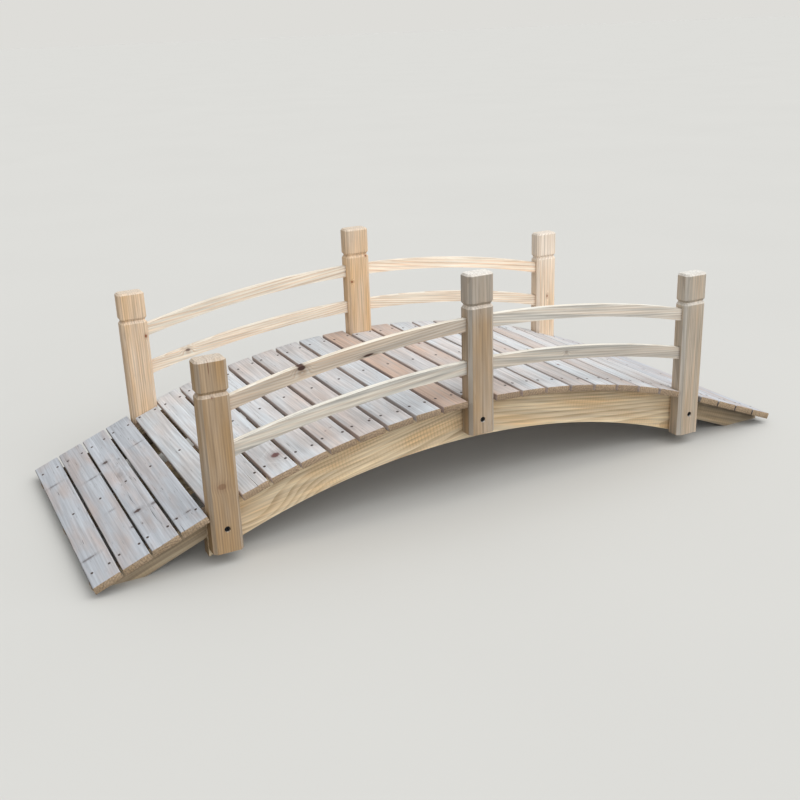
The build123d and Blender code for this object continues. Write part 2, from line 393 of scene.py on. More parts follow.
def add(tree, kind, inputs=(), out=0, **settings):
    """Add one node with its settings, link or fill its inputs, and return one of its outputs."""
    node = tree.nodes.new(kind)
    for name, value in settings.items():
        setattr(node, name, value)
    sockets = inputs.items() if isinstance(inputs, dict) else enumerate(inputs)
    for socket, source in sockets:
        if isinstance(source, bpy.types.NodeSocket):
            tree.links.new(source, node.inputs[socket])
        else:
            node.inputs[socket].default_value = source
    return node.outputs[out] if len(node.outputs) else node


def new_material(name):
    """Start an empty node material."""
    material = bpy.data.materials.new(name)
    material.use_nodes = True
    material.node_tree.nodes.clear()
    return material, material.node_tree


def opaque(rgb):
    """A colour with its alpha."""
    return (*rgb, 1.0)


def covered(tree, shown, *coats):
    """Cover a colour with coats, each given as the share of it that covers and its colour."""
    for amount, tint in coats:
        sockets = {MIX_SHARE: amount, COLOUR_FIRST: shown, COLOUR_SECOND: tint}
        shown = add(tree, MIX, sockets, out=COLOUR_OUT, data_type="RGBA")
    return shown


# A wave texture of scale 1 turns through this many radians in a metre.
WAVE_TURN = 20


def wave_scale(spacing):
    """Scale at which a wave texture repeats once in a given length."""
    return 2 * math.pi / (WAVE_TURN * spacing)


# The patterns of fir: the size of each across, along and through the timber, and its fine detail. The
# real fibres are half a millimetre wide, too fine for the picture, so they and the drying checks are
# drawn as coarse as they need to be to show.
PATTERNS = {
    "sway": ((110 * MM, 420 * MM, 110 * MM), 1),
    "cloud": ((50 * MM, 230 * MM, 50 * MM), 3),
    "streak": ((16 * MM, 700 * MM, 16 * MM), 2),
    "fibre": ((5.5 * MM, 190 * MM, 5.5 * MM), 4),
    "check": ((3 * MM, 55 * MM, 3 * MM), 1),
    "grit": ((4 * MM, 4 * MM, 4 * MM), 2),
}
PATTERN_SHIFT = 20.0

# Where the pith of the log lay from the middle of the timber: beside it, so that the broad faces
# show straight lines, or behind it, so that they show arches. Then how far the rings sway.
Figure = namedtuple("Figure", "beside behind sway")
FIGURES = {
    "straight": Figure((120 * MM, 240 * MM), (-30 * MM, 30 * MM), 7 * MM),
    "leaning": Figure((45 * MM, 80 * MM), (-90 * MM, -50 * MM), 10 * MM),
    "arched": Figure((0 * MM, 22 * MM), (-110 * MM, -60 * MM), 16 * MM),
}

# Most that the pith leans through the timber and tilts across it, in radians, how slowly the rings
# change along the timber beside across it, and how they wobble.
PITH_LEAN, PITH_TILT = 0.3, 0.2
RING_STRETCH = (1, 0.12, 1)
RING_WOBBLE = {"Distortion": 2.2, "Detail": 2, "Detail Scale": 0.4}

# The band saw's marks: their spacing, how unevenly they run, and where along a timber they set in.
SAW_SPACING = 11 * MM
SAW_WOBBLE = {"Distortion": 2.6, "Detail": 2, "Detail Scale": 0.4}
SAW_START = (-170 * MM, -60 * MM)

# Where each mark sets in and where it is full, on the pattern that draws it. Those of a knot are in
# half widths of the knot, and that of a post's head is a length up from the neck.
LATE_EDGE = (0.3, 0.97)
RING_EDGE = (0.3, 0.7)
BLOTCH_EDGE = (0.34, 0.66)
GREY_EDGE = (0.36, 0.62)
FIBRE_EDGE = (0.32, 0.68)
CHECK_EDGE = (0.7, 0.8)
GRIT_EDGE = (0.32, 0.62)
KERF_EDGE = (0.62, 0.98)
SAW_PATCH_EDGE = (0.42, 0.62)
KNOT_CORE_EDGE = (1.5, 0.9)
KNOT_HALO_EDGE = (2.6, 1.2)
KNOT_PUSH_EDGE = (3.4, 0.3)
HEAD_EDGE = (-60 * MM, 20 * MM)

# How squarely a face has to look up, or along its timber, to count as an upper face or a sawn end,
# and how evenly between two faces to count as an edge.
UPPER_EDGE = (0.3, 0.8)
ENDWARD_EDGE = (0.6, 0.85)
ARRIS_EDGE = (0.3, 0.48)

# How far each mark goes at its least and at its most. A timber's finish or look scales or shifts it.
RING_SWING = (0.35, 1.3)
BLOTCH_SWING = (-0.5, 0.7)
GREY_SWING = (-0.3, 0.3)
FIBRE_SWING = (-0.6, 0.4)
GRIT_SWING = (0.6, 1.15)
ROUGH_SWING = (0.05, -0.07)

# Shares: how ragged a knot is and how dark its halo, how much the grey shows on upper faces, how
# light the late wood of a grey streak is beside the grey, and how much of a sawn end is end grain
# and of that rings.
KNOT_RAGGED = 0.7
HALO_SHARE = 0.3
UPPER_GREY_SHARE = 0.5
LATE_GREY_SHARE = 0.6
SAWN_END_SHARE = 0.85
END_RING_SHARE = 0.45

# Height of a post's head above its neck, and the relief of the wood: how high the rings stand beside
# the fibres, and how deep the checks and the saw marks go.
POST_HEAD = 96 * MM
RELIEF = 0.6 * MM
RELIEF_STRENGTH = 0.6
RING_HEIGHT = 0.6
CHECK_HEIGHT = -1.5
KERF_HEIGHT = -2.0
FIR_IOR = 1.5

# A timber's material in the making: where a point lies in the timber, the same shifted to the
# timber's own part of the patterns, how far along it lies, the patterns, and how squarely the point's
# face looks up, across, along and out of the broad face.
Timber = namedtuple("Timber", "tree finish look board local shifted along patterns facing")


def lay_grain(tree, finish, look, board, rng):
    """Find where a point lies in its timber, draw the patterns there and see which way it faces."""
    turn = Matrix((board.across, board.along, board.up)).transposed().to_euler()
    shift = [rng.uniform(-PATTERN_SHIFT, PATTERN_SHIFT) for axis in range(3)]
    place = add(tree, COORDS, out="Object")
    local = add(tree, MAPPING, [place, board.middle, turn], vector_type="TEXTURE")
    shifted = add(tree, VECTOR, [local, shift], operation="ADD")
    along = add(tree, VECTOR, [local, (0, 1, 0)], operation="DOT_PRODUCT", out="Value")
    patterns = {}
    for name, (size, detail) in PATTERNS.items():
        at = add(tree, VECTOR, [shifted, size], operation="DIVIDE")
        kind = "Color" if name == "sway" else "Fac"
        patterns[name] = add(tree, NOISE, {"Vector": at, "Scale": 1, "Detail": detail}, out=kind)
    normal = add(tree, GEOMETRY, out="Normal")
    axes = {"up": UPRIGHT, "across": board.across, "along": board.along, "broad": board.up}
    facing = {}
    for name, axis in axes.items():
        facing[name] = add(tree, VECTOR, [normal, axis], operation="DOT_PRODUCT", out="Value")
    return Timber(tree, finish, look, board, local, shifted, along, patterns, facing)


def knot_marks(timber):
    """Where the rings run once the knots have pushed them aside, and the knots' dark hearts."""
    tree = timber.tree
    sway = FIGURES[timber.look.figure].sway
    swayed = add(
        tree, VECTOR, [timber.patterns["sway"], (sway, 0, sway), timber.local], operation="MULTIPLY_ADD"
    )
    heart = None
    for knot in timber.look.knots:
        radius = knot.radius * MM
        centre = (knot.across * MM, knot.along * MM, 0)
        shape = (1 / radius, 1 / (knot.stretch * radius), 0)
        away = add(tree, VECTOR, [timber.local, centre], operation="SUBTRACT")
        scaled = add(tree, VECTOR, [away, shape], operation="MULTIPLY")
        distance = add(tree, VECTOR, [scaled], operation="LENGTH", out="Value")
        if knot.dark:
            ragged = add(
                tree, MATH, [timber.patterns["fibre"], KNOT_RAGGED, distance], operation="MULTIPLY_ADD"
            )
            core = add(
                tree, RANGE, [ragged, *KNOT_CORE_EDGE, 0, knot.dark], interpolation_type="SMOOTHSTEP"
            )
            halo = add(tree, RANGE, [ragged, *KNOT_HALO_EDGE, 0, HALO_SHARE * knot.dark])
            mark = add(tree, MATH, [core, halo], operation="MAXIMUM")
            heart = mark if heart is None else add(tree, MATH, [heart, mark], operation="MAXIMUM")
        if knot.swell:
            most = knot.swell * radius
            swell = add(
                tree, RANGE, [distance, *KNOT_PUSH_EDGE, 0, most], interpolation_type="SMOOTHERSTEP"
            )
            push = add(tree, COMBINE, {"X": swell, "Z": swell})
            swayed = add(tree, VECTOR, [swayed, push], operation="ADD")
    return swayed, heart


def growth_rings(timber, swayed, rng):
    """Growth rings round the pith of the log: pale, darkening, then a sharp edge."""
    tree = timber.tree
    figure = FIGURES[timber.look.figure]
    pith = (rng.choice((-1, 1)) * rng.uniform(*figure.beside), 0, rng.uniform(*figure.behind))
    lean = (rng.uniform(-PITH_LEAN, PITH_LEAN), 0, rng.uniform(-PITH_TILT, PITH_TILT))
    at = add(tree, MAPPING, [swayed, [-value for value in pith], lean, RING_STRETCH])
    rings = add(
        tree,
        WAVE,
        {"Vector": at, "Scale": wave_scale(timber.finish.ring_width), **RING_WOBBLE},
        out="Fac",
        wave_type="RINGS",
        rings_direction="Y",
        wave_profile="SAW",
    )
    return add(tree, RANGE, [rings, *LATE_EDGE], interpolation_type="SMOOTHSTEP")


def bleaching(timber):
    """How far the sun has bleached the wood: upper faces, worn edges and the heads of some posts.
    The pale worn edges are partly wear and partly a painted highlight along the arrises.
    """
    tree = timber.tree
    facing = timber.facing
    bleach = timber.look.bleach
    upper = add(tree, RANGE, [facing["up"], *UPPER_EDGE, 0, bleach], interpolation_type="SMOOTHSTEP")
    # Bevelled edges turn pale: partly worn bleaching, partly a painted highlight along the arrises.
    slanting = add(tree, MATH, [facing["across"], facing["broad"]], operation="MULTIPLY")
    arris = add(tree, MATH, [slanting], operation="ABSOLUTE")
    worn = add(tree, RANGE, [arris, *ARRIS_EDGE, 0, timber.finish.worn * bleach])
    bleached = add(tree, MATH, [upper, worn], operation="MAXIMUM")
    if timber.look.head:
        neck = timber.board.size.y / 2 - POST_HEAD
        fade = [neck + place for place in HEAD_EDGE]
        paled = add(tree, RANGE, [timber.along, *fade, 0, timber.look.head])
        bleached = add(tree, MATH, [bleached, paled], operation="MAXIMUM")
    return bleached


def saw_marks(timber):
    """Marks of the band saw across the timber, in patches."""
    tree = timber.tree
    kerf = add(
        tree,
        WAVE,
        {"Vector": timber.shifted, "Scale": wave_scale(SAW_SPACING), **SAW_WOBBLE},
        out="Fac",
        wave_type="BANDS",
        bands_direction="Y",
    )
    line = add(tree, RANGE, [kerf, *KERF_EDGE], interpolation_type="SMOOTHSTEP")
    begun = add(tree, RANGE, [timber.along, *SAW_START])
    patch = add(tree, RANGE, [timber.patterns["cloud"], *SAW_PATCH_EDGE, 0, timber.look.saw])
    shown = add(tree, MATH, [patch, begun], operation="MULTIPLY")
    return add(tree, MATH, [line, shown], operation="MULTIPLY")


def fir(name, finish, board, seed, look):
    """Fir: growth rings, long fibres, knots, checks, coarse end grain and faces bleached by the sun."""
    rng = random.Random(seed)
    material, tree = new_material(name)
    timber = lay_grain(tree, finish, look, board, rng)
    patterns = timber.patterns
    swayed, heart = knot_marks(timber)
    late = growth_rings(timber, swayed, rng)
    ring_depth = [swing * finish.contrast for swing in RING_SWING]
    fading = add(tree, RANGE, [patterns["streak"], *RING_EDGE, *ring_depth])
    rings = add(tree, MATH, [late, fading], operation="MULTIPLY")
    bleached = bleaching(timber)

    # Where the timber is sawn across, and no sun has reached.
    endward = add(tree, MATH, [timber.facing["along"]], operation="ABSOLUTE")
    cut_across = add(tree, RANGE, [endward, *ENDWARD_EDGE, 0, SAWN_END_SHARE])
    in_shade = add(tree, MATH, [1.0, bleached], operation="SUBTRACT")
    sawn_end = add(tree, MATH, [cut_across, in_shade], operation="MULTIPLY")

    # Colour: raw wood, bleached wood over it, then end grain and knots.
    tint = {key: opaque(getattr(finish, key)) for key in TIMBER_COLOURS}
    warmth = [look.warm + swing * finish.blotch for swing in BLOTCH_SWING]
    drift = add(tree, RANGE, [patterns["cloud"], *BLOTCH_EDGE, *warmth])
    greyness = [look.weather + swing for swing in GREY_SWING]
    grey = add(tree, RANGE, [patterns["streak"], *GREY_EDGE, *greyness])
    upper_grey = add(tree, MATH, [grey, UPPER_GREY_SHARE], operation="MULTIPLY")
    end_rings = add(tree, MATH, [late, END_RING_SHARE], operation="MULTIPLY")
    late_grey = opaque(LATE_GREY_SHARE * channel for channel in finish.weather)
    late_wood = covered(tree, tint["dark"], (grey, late_grey))
    raw = covered(tree, tint["light"], (drift, tint["blush"]), (grey, tint["weather"]), (rings, late_wood))
    sunned = covered(
        tree,
        tint["sun_light"],
        (drift, tint["sun_blush"]),
        (upper_grey, tint["weather"]),
        (rings, tint["sun_dark"]),
    )
    end_grain = covered(tree, tint["end"], (end_rings, tint["end_dark"]))
    wood = covered(tree, raw, (bleached, sunned), (sawn_end, end_grain))
    if heart is not None:
        wood = covered(tree, wood, (heart, tint["knot"]))

    # Light and shade: fibres, dark checks, coarse sawn ends and, on sawn faces, saw marks.
    fibre_shade = [1 + swing * finish.fibre for swing in FIBRE_SWING]
    streaked = add(tree, RANGE, [patterns["fibre"], *FIBRE_EDGE, *fibre_shade])
    crack = add(tree, RANGE, [patterns["check"], *CHECK_EDGE, 0, finish.checks])
    uncracked = add(tree, MATH, [1.0, crack], operation="SUBTRACT")
    lined = add(tree, MATH, [streaked, uncracked], operation="MULTIPLY")
    coarse = add(tree, RANGE, [patterns["grit"], *GRIT_EDGE, *GRIT_SWING])
    texture = {MIX_SHARE: sawn_end, NUMBER_FIRST: lined, NUMBER_SECOND: coarse}
    textured = add(tree, MIX, texture, data_type="FLOAT")
    # Upper faces take the look's top instead of its tone: partly bleaching, partly painted light from
    # above.
    level = add(tree, RANGE, [timber.facing["up"], *UPPER_EDGE, look.tone, look.top or look.tone])
    shade = add(tree, MATH, [textured, level], operation="MULTIPLY")
    height = add(tree, MATH, [rings, RING_HEIGHT, patterns["fibre"]], operation="MULTIPLY_ADD")
    height = add(tree, MATH, [crack, CHECK_HEIGHT, height], operation="MULTIPLY_ADD")
    if look.saw:
        scored = saw_marks(timber)
        unscored = add(tree, MATH, [1.0, scored], operation="SUBTRACT")
        shade = add(tree, MATH, [shade, unscored], operation="MULTIPLY")
        height = add(tree, MATH, [scored, KERF_HEIGHT, height], operation="MULTIPLY_ADD")

    shown = add(tree, VECTOR, {0: wood, "Scale": shade}, operation="SCALE")
    sheen = [finish.roughness + swing for swing in ROUGH_SWING]
    rough = add(tree, RANGE, [late, 0, 1, *sheen])
    relief = add(tree, BUMP, {"Height": height, "Strength": RELIEF_STRENGTH, "Distance": RELIEF})
    surface = {"Base Color": shown, "Roughness": rough, "IOR": FIR_IOR, "Normal": relief}
    add(tree, OUTPUT, {"Surface": add(tree, PRINCIPLED, surface)})
    return material


# Dark steel: where its skin is rubbed, how its roughness swings there, and its relief.
RUBBED_EDGE = (0.45, 0.7)
SKIN_SWING = (-0.1, 0.1)
SKIN_RELIEF = 0.2 * MM
SKIN_RELIEF_STRENGTH = 0.3


def dark_steel(name, plain, worn, roughness, metallic, patch_size):
    """Steel with a dark skin that is patchy where it has rubbed or rusted."""
    material, tree = new_material(name)
    place = add(tree, COORDS, out="Object")
    patches = add(tree, NOISE, {"Vector": place, "Scale": 1 / patch_size, "Detail": 3}, out="Fac")
    rubbed = add(tree, RANGE, [patches, *RUBBED_EDGE])
    skin = covered(tree, opaque(plain), (rubbed, opaque(worn)))
    sheen = [roughness + swing for swing in SKIN_SWING]
    rough = add(tree, RANGE, [patches, 0, 1, *sheen])
    relief = add(
        tree, BUMP, {"Height": patches, "Strength": SKIN_RELIEF_STRENGTH, "Distance": SKIN_RELIEF}
    )
    surface = {"Base Color": skin, "Metallic": metallic, "Roughness": rough, "Normal": relief}
    add(tree, OUTPUT, {"Surface": add(tree, PRINCIPLED, surface)})
    return material


# Crushed wood: the size of its grit, where the grit shows, and how it darkens and lightens the stain.
CRUSHED_SIZE = 1.5 * MM
CRUSHED_EDGE = (0.3, 0.7)
CRUSHED_SWING = (0.7, 1.1)
CRUSHED_ROUGHNESS = 0.9


def bruised_fir(name, stain):
    """Fir crushed and stained black by a nail: darker than the plank, and rough."""
    material, tree = new_material(name)
    place = add(tree, COORDS, out="Object")
    grit = add(tree, NOISE, {"Vector": place, "Scale": 1 / CRUSHED_SIZE, "Detail": 2}, out="Fac")
    shade = add(tree, RANGE, [grit, *CRUSHED_EDGE, *CRUSHED_SWING])
    shown = add(tree, VECTOR, {0: stain, "Scale": shade}, operation="SCALE")
    surface = {"Base Color": shown, "Roughness": CRUSHED_ROUGHNESS, "IOR": FIR_IOR}
    add(tree, OUTPUT, {"Surface": add(tree, PRINCIPLED, surface)})
    return material


def dress(node, material):
    """Give a node of the frame its finish."""
    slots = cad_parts[node].data.materials
    slots.clear()
    slots.append(material)


def put_in_scene(name, data):
    """Make an object of a mesh, a lamp or a camera, and put it in the scene."""
    made = bpy.data.objects.new(name, data)
    bpy.context.scene.collection.objects.link(made)
    return made


def finished(name, mesh, materials):
    """Turn a mesh that is done into an object with its materials."""
    data = bpy.data.meshes.new(name)
    mesh.to_mesh(data)
    mesh.free()
    for material in materials:
        data.materials.append(material)
    return put_in_scene(name, data)


SHARP_ANGLE = math.radians(38)


def new_piece(name, mesh, materials, replaced=()):
    """Turn a mesh that is done into a smooth piece that rides with the bridge."""
    piece = finished(name, mesh, materials)
    for polygon in piece.data.polygons:
        polygon.use_smooth = True
    piece.data.set_sharp_from_angle(angle=SHARP_ANGLE)
    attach(piece, BODY)
    if replaced:
        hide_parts(*replaced)


# Along a plank, the sections stand close together near its ends, where the splits open.
END_STATIONS = [0.0, 0.8 * MM, 5 * MM, 12 * MM, 22 * MM, 36 * MM, 54 * MM]
STATION_STEP = 24 * MM
ROUND_STEPS = 4
UNDER_EASE = 0.8 * MM

# A split that has closed is still a hairline, and one that opens does so a little faster than evenly.
HAIRLINE = 0.12 * MM
HAIRLINE_DEPTH = HAIRLINE / 4
SPLIT_TAPER = 0.8

# How a plank is worn: how far each part strays, how many swings it makes in a metre, and which layer
# of the noise it takes. The edges stray by a share of their rounding. Each plank has a lane of its own
# in the noise, and its sawn ends are ragged.
Wear = namedtuple("Wear", "reach swings layer")
EDGE_WEAR = Wear(0.35, 14, 0)
SIDE_WEAR = Wear(0.25 * MM, 6, 5)
TOP_WEAR = Wear(0.2 * MM, 5, 9)
SPLIT_WANDER = Wear(1.6 * MM, 22, 3)
END_RAGGED = 0.5 * MM
END_SWINGS = 160
NOISE_LANES = 100


def strayed(wear, lane, place):
    """How far a part of a plank strays at a place along it."""
    return wear.reach * noise.noise((lane, place * wear.swings, wear.layer))


def stations(size):
    """Places along a plank where its section is drawn."""
    half = size / 2
    inner = half - END_STATIONS[-1]
    count = max(2, round(2 * inner / STATION_STEP))
    first = [-half + place for place in END_STATIONS]
    middle = [-inner + 2 * inner * step / count for step in range(1, count)]
    last = [half - place for place in reversed(END_STATIONS)]
    return first + middle + last


def plank_section(half, low, high, rounding, cuts):
    """Outline of a plank: flat below, rounded above, with a V for each split."""
    turns = [math.pi / 2 * step / ROUND_STEPS for step in range(ROUND_STEPS + 1)]
    corner = [(rounding * (1 - math.cos(turn)), rounding * (1 - math.sin(turn))) for turn in turns]
    outline = [(-half + UNDER_EASE, low), (half - UNDER_EASE, low), (half, low + UNDER_EASE)]
    outline += [(half - inward, high - down) for inward, down in corner]
    for across, width, depth in cuts:
        outline += [(across + width / 2, high), (across, high - depth), (across - width / 2, high)]
    outline += [(inward - half, high - down) for inward, down in reversed(corner)]
    outline.append((-half, low + UNDER_EASE))
    return outline


def worn_plank(board, shape, splits, seed):
    """A plank with worn edges, a slight bow, uneven sawn ends and its drying splits."""
    rng = random.Random(seed)
    lane = rng.uniform(0, NOISE_LANES)
    bow = rng.uniform(-shape.bow, shape.bow)
    half_length = board.size.y / 2
    measured = [Split(*(value * MM for value in split)) for split in splits]
    measured.sort(key=lambda split: -split.across)
    mesh = bmesh.new()
    rows = []
    for place in stations(board.size.y):
        at_end = half_length - abs(place) < END_STATIONS[1] / 2
        bevel = shape.end_bevel if at_end else 0.0
        half = board.size.x / 2 - bevel - SIDE_WEAR.reach - strayed(SIDE_WEAR, lane, place)
        high = board.size.z / 2 - bevel - TOP_WEAR.reach - strayed(TOP_WEAR, lane, place)
        low = bevel - board.size.z / 2
        rounding = shape.edge_round * (1 + strayed(EDGE_WEAR, lane, place))
        cuts = []
        for split in measured:
            openness = max(0.0, 1 - abs(place - split.along) / split.reach) ** SPLIT_TAPER
            across = split.across + strayed(SPLIT_WANDER, lane + split.across, place)
            width = max(HAIRLINE, shape.split_width * openness)
            depth = max(HAIRLINE_DEPTH, shape.split_depth * openness)
            cuts.append((across, width, depth))
        side = bow * (1 - (place / half_length) ** 2)
        row = []
        for across, up in plank_section(half, low, high, rounding, cuts):
            along = place
            if at_end:
                ragged = END_RAGGED * noise.noise((across * END_SWINGS, up * END_SWINGS, lane))
                along += math.copysign(ragged, -place)
            point = board.middle + board.across * (across + side) + board.along * along + board.up * up
            row.append(mesh.verts.new(point))
        rows.append(row)
    for first, second in zip(rows, rows[1:]):
        for index in range(len(first)):
            following = (index + 1) % len(first)
            mesh.faces.new((first[index], first[following], second[following], second[index]))
    mesh.faces.new(rows[0])
    mesh.faces.new(list(reversed(rows[-1])))
    bmesh.ops.recalc_face_normals(mesh, faces=mesh.faces)
    return mesh


# The one nail at the middle stringer stands a little off the middle of its plank.
MIDDLE_NAIL_SHARE = 0.1


def nail_places(board, lines, shape, rng):
    """Two nails at each outer stringer and one at the middle stringer, each a little out of line."""
    surface = board.size.z / 2 - TOP_WEAR.reach
    limit = board.size.y / 2 - shape.bruise
    for line in lines:
        sides = (-1, 1) if abs(line) > shape.spread else (MIDDLE_NAIL_SHARE,)
        for side in sides:
            across = side * shape.spread + rng.uniform(-shape.scatter, shape.scatter) / 2
            along = line - board.middle.y + rng.uniform(-shape.scatter, shape.scatter)
            along = max(-limit, min(limit, along))
            yield board.middle + board.across * across + board.along * along + board.up * surface


# A nail head from its crown down: shares of its radius and of its crown's height. Then its skirt, the
# bruise round it, and how deep the bruise is sunk into the plank.
NAIL_SIDES = 12
HEAD_SHARES = ((0.45, 0.96), (0.85, 0.7), (1.0, 0.28))
SKIRT_SHARE = 1.02
SKIRT_HEIGHT = 0.1 * MM
BRUISE_SHARE = 0.85
BRUISE_HEIGHT = 0.12 * MM
BRUISE_FOOT = -0.5 * MM
STEEL_SLOT, BRUISE_SLOT = 0, 1


def nail_profile(shape):
    """Half outline of a nail head in its bruise: half width across and along, height and slot."""
    head = shape.head / 2
    bruise = shape.bruise / 2
    steel = [(head * width, shape.crown * height) for width, height in HEAD_SHARES]
    steel.append((head * SKIRT_SHARE, SKIRT_HEIGHT))
    stained = [(bruise * BRUISE_SHARE, BRUISE_HEIGHT), (bruise, BRUISE_FOOT)]
    rings = [(radius, radius, height, STEEL_SLOT) for radius, height in steel]
    rings += [(radius, radius * shape.bruise_stretch, height, BRUISE_SLOT) for radius, height in stained]
    return rings


def add_nail(mesh, at, board, shape, turn):
    """Add one nail head, standing on a plank, to a mesh."""
    top = mesh.verts.new(at + board.up * shape.crown)
    turns = [turn + 2 * math.pi * side / NAIL_SIDES for side in range(NAIL_SIDES)]
    upper = None
    for across, along, height, slot in nail_profile(shape):
        ring = []
        for way in turns:
            spoke = board.across * math.cos(way) * across + board.along * math.sin(way) * along
            ring.append(mesh.verts.new(at + spoke + board.up * height))
        for side in range(NAIL_SIDES):
            following = (side + 1) % NAIL_SIDES
            corners = [ring[side], ring[following]]
            corners += [upper[following], upper[side]] if upper else [top]
            face = mesh.faces.new(corners)
            face.material_index = slot
        upper = ring
    under = mesh.faces.new(list(reversed(upper)))
    under.material_index = BRUISE_SLOT


# How the planks differ, from the left end of the bridge to the right.
DECK_LOOKS = (
    Look("leaning", 1.02, 0.1, 0.1),
    Look("straight", 1.12, 0.12, 0.1),
    Look("arched", 1.12, 0.1, 0.1, knots=(Knot(17, -342, 15, 1.2, 1.3, 0.95),)),
    Look("leaning", 1.11, 0.08, 0.1),
    Look("straight", 1.06, 0.35, 0.1, knots=(
        Knot(16, -329, 4, 1.0, 1.0, 0.5),
        Knot(-4, -337, 3, 1.0, 1.0, 0.6),
    )),
    Look("arched", 1.01, 0.38, 0.05, knots=(Knot(35, -372, 4, 1.0, 1.0, 0.7),)),
    Look("leaning", 1.0, 0.1, 0.3),
    Look("straight", 1.03, 0.0, 0.2, knots=(Knot(-12, 120, 4),)),
    Look("arched", 0.91, 1.0, 0.0),
    Look("leaning", 1.02, 0.3, 0.2),
    Look("straight", 0.98, 0.75, 0.0, knots=(Knot(18, 160, 5),)),
    Look("leaning", 1.08, 0.15, 0.2),
    Look("straight", 1.1, 0.1, 0.0),
    Look("arched", 0.98, 0.45, 0.2),
    Look("straight", 1.1, 0.05, 0.0, knots=(Knot(-15, -210, 5),)),
    Look("leaning", 0.98, 0.45, 0.15),
    Look("straight", 1.12, 0.1, 0.1),
    Look("leaning", 1.0, 0.3, 0.2),
    Look("straight", 1.04, 0.2, 0.2),
)
RAMP_LOOKS = {
    "left": (
        Look("leaning", 1.0, 0.1, 0.15, knots=(
            Knot(-10, 260, 22, 0.3, 0.4, 0.5),
            Knot(-15, -298, 26, 0.25, 0.4, 0.6),
        )),
        Look("straight", 1.01, 0.2, 0.15, knots=(
            Knot(14, 154, 24, 0.25, 0.5, 0.5),
            Knot(14, -114, 13, 0.5, 1.0, 0.35),
            Knot(40, -274, 7, 1.0, 1.0, 0.7),
        )),
        Look("arched", 1.06, 0.1, 0.2, knots=(
            Knot(-16, 208, 11, 0.9, 1.5, 0.9),
            Knot(26, 179, 4, 1.4, 1.0, 0.5),
            Knot(1, 70, 13, 1.8, 1.0, 0.25),
            Knot(-14, -205, 13, 0.8, 1.5, 0.95),
            Knot(36, -216, 12, 0.8, 1.5, 0.7),
            Knot(-21, -288, 3, 2.5, 1.0, 0.6),
        )),
        Look("straight", 1.08, -0.1, 0.2, knots=(
            Knot(12, 208, 20, 0.22, 0.4, 0.5),
            Knot(10, -374, 10, 0.5, 1.0, 0.7),
            Knot(-30, -372, 8, 0.6, 1.0, 0.5),
        )),
    ),
    "right": (
        Look("straight", 1.06, 0.3, 0.1),
        Look("leaning", 1.08, 0.1, 0.1, knots=(Knot(-12, 180, 20, 0.22, 0.4, 0.5),)),
        Look("arched", 1.04, 0.4, 0.1, knots=(Knot(10, -150, 8, 0.9, 2.0, 0.8),)),
        Look("straight", 1.06, 0.2, 0.1),
    ),
}
DECK_SPLITS = {
    2: (Split(9, -457, 115),),
    7: (Split(14, 457, 90),),
    12: (Split(-20, -457, 50),),
    15: (Split(8, -457, 70),),
    18: (Split(-6, 457, 120),),
}
RAMP_SPLITS = {
    ("left", 3): (Split(-11, -112, 46), Split(18, -276, 46)),
    ("left", 4): (Split(-30, -457, 45),),
    ("right", 2): (Split(5, 457, 100),),
}


def nailing_lines():
    """Distances from the middle of the bridge at which the planks are nailed."""
    lines = []
    for line in STRINGER_LINES:
        low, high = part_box(f"stringer_{line}_left")
        lines.append((low.y + high.y) / 2)
    return lines


class BRIDGE_OT_deck_planks(bpy.types.Operator):
    """Lay worn planks over the arch"""

    bl_idname = "moon_bridge.deck_planks"
    bl_label = "Deck planks"

    def execute(self, context):
        settings = context.scene.moon_bridge
        for number, look in enumerate(DECK_LOOKS, start=1):
            node = f"deck_plank_{number:02d}"
            board = planks_of(node)[0]
            seed = settings.seed + number
            # Planed fir left out in rain and sun: silver-grey to pinkish on top, with soft rings,
            # while the sides in the gaps are a greyish brown and the rough sawn ends stay tan.
            material = fir(f"Silvered fir plank {number:02d}", settings.deck, board, seed, look)
            mesh = worn_plank(board, settings.board, DECK_SPLITS.get(number, ()), seed)
            new_piece(f"deck_board_{number:02d}", mesh, [material], [node])
        return {"FINISHED"}


class BRIDGE_OT_ramp_planks(bpy.types.Operator):
    """Lay worn planks down the two ramps"""

    bl_idname = "moon_bridge.ramp_planks"
    bl_label = "Ramp planks"

    def execute(self, context):
        settings = context.scene.moon_bridge
        for end in ENDS:
            node = f"ramp_planks_{end}"
            for number, board in enumerate(planks_of(node), start=1):
                look = RAMP_LOOKS[end][number - 1]
                seed = settings.seed + RAMP_SEEDS[end] + number
                # The same planed fir, lowest and dampest of all, so greyer and duller, with its sides
                # painted dark brown as painted shade in the gaps.
                material = fir(f"Grey fir ramp plank {end} {number}", settings.ramp, board, seed, look)
                mesh = worn_plank(board, settings.board, RAMP_SPLITS.get((end, number), ()), seed)
                new_piece(f"ramp_board_{end}_{number}", mesh, [material], [node])
        return {"FINISHED"}


